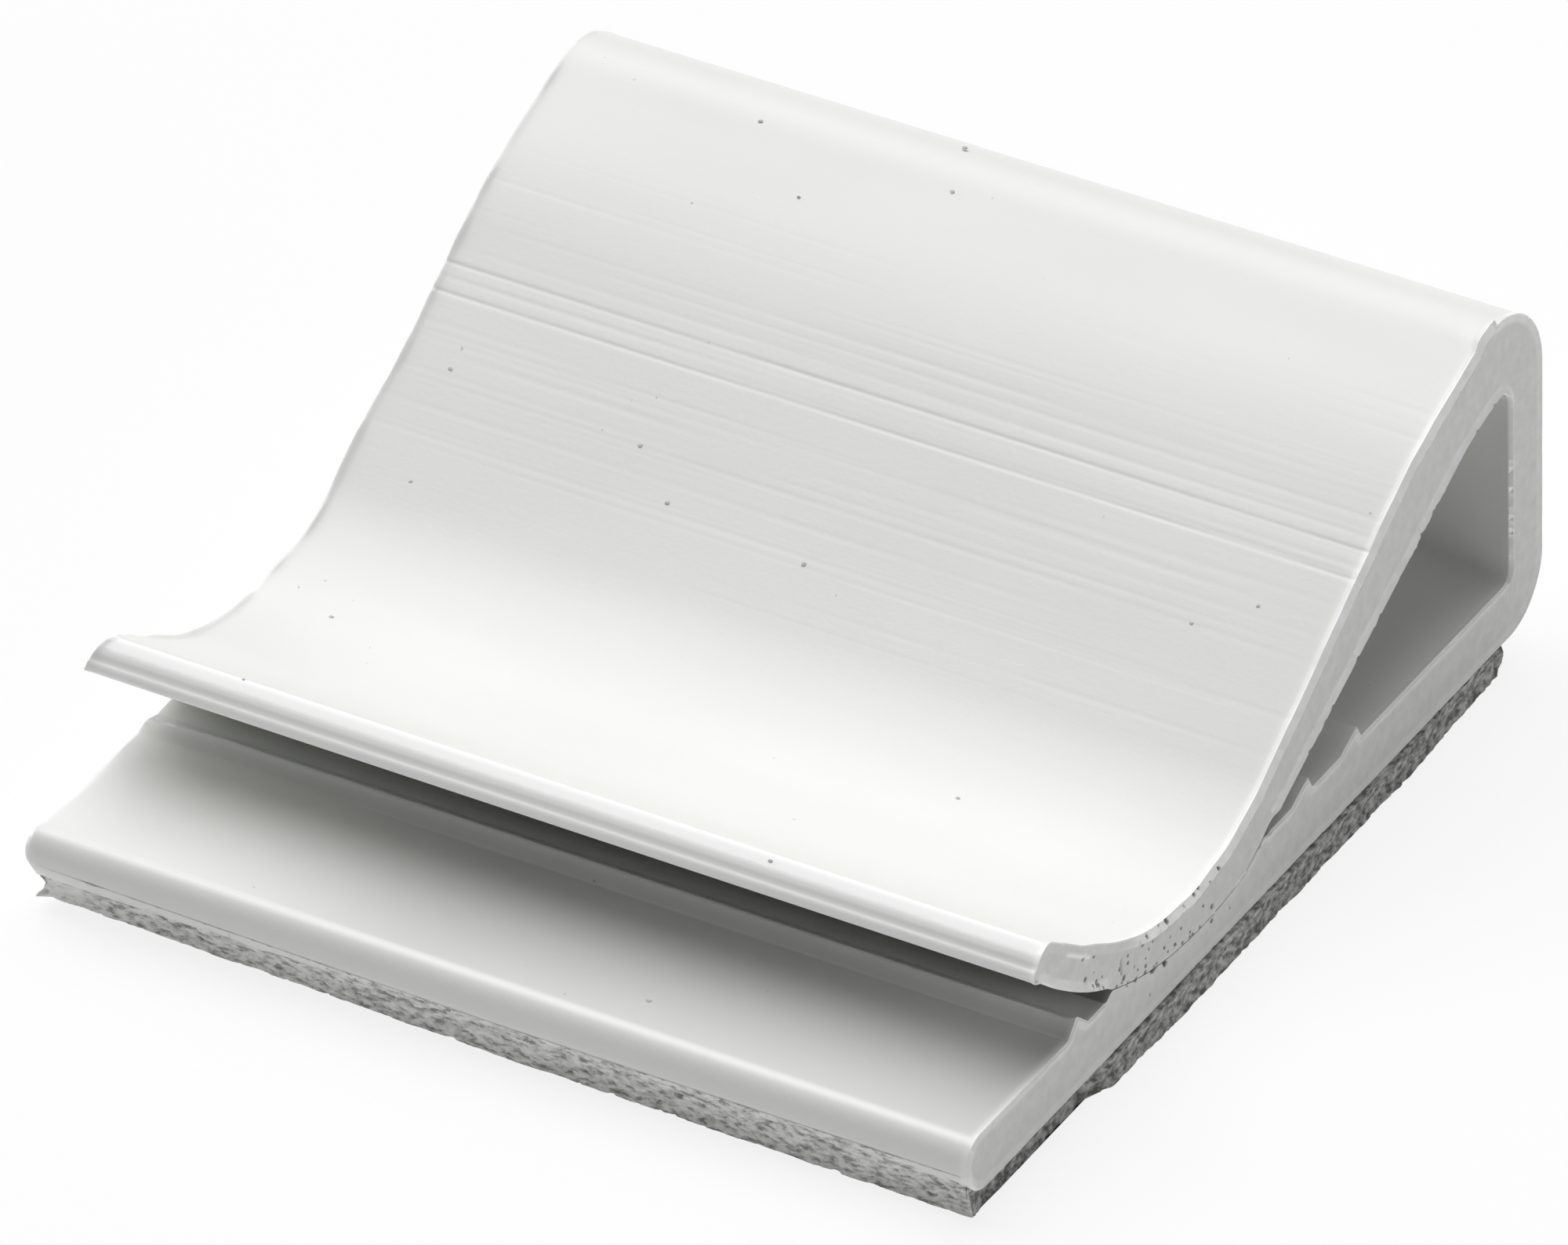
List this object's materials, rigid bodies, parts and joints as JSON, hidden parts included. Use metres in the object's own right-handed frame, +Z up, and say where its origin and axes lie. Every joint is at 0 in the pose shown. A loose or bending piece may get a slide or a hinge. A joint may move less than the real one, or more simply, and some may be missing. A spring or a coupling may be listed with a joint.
{
  "type": "adhesive cable clip",
  "caption": "Spring flap cable clip cut from a plastic extrusion: the flap's dip presses on the base, the hollow behind it holds flat cable, foam tape sticks it down.",
  "frame": {"origin": "middle of the footprint, on the tape's underside that is stuck to the surface", "axes": "+X along the extrusion, +Y towards the back wall so that the mouth faces -Y, +Z up from the mounting surface"},
  "size_m": [0.0254, 0.0274, 0.0101],
  "materials": {
    "white_pvc": "semi-matt rigid PVC with fine lines along the extrusion and matt saw-cut ends",
    "foam_tape": "matt closed-cell foam, speckled at its cut edges"
  },
  "bodies": {
    "root": {"clip_body": "white_pvc", "foam_tape": "foam_tape"}
  },
  "joints": []
}
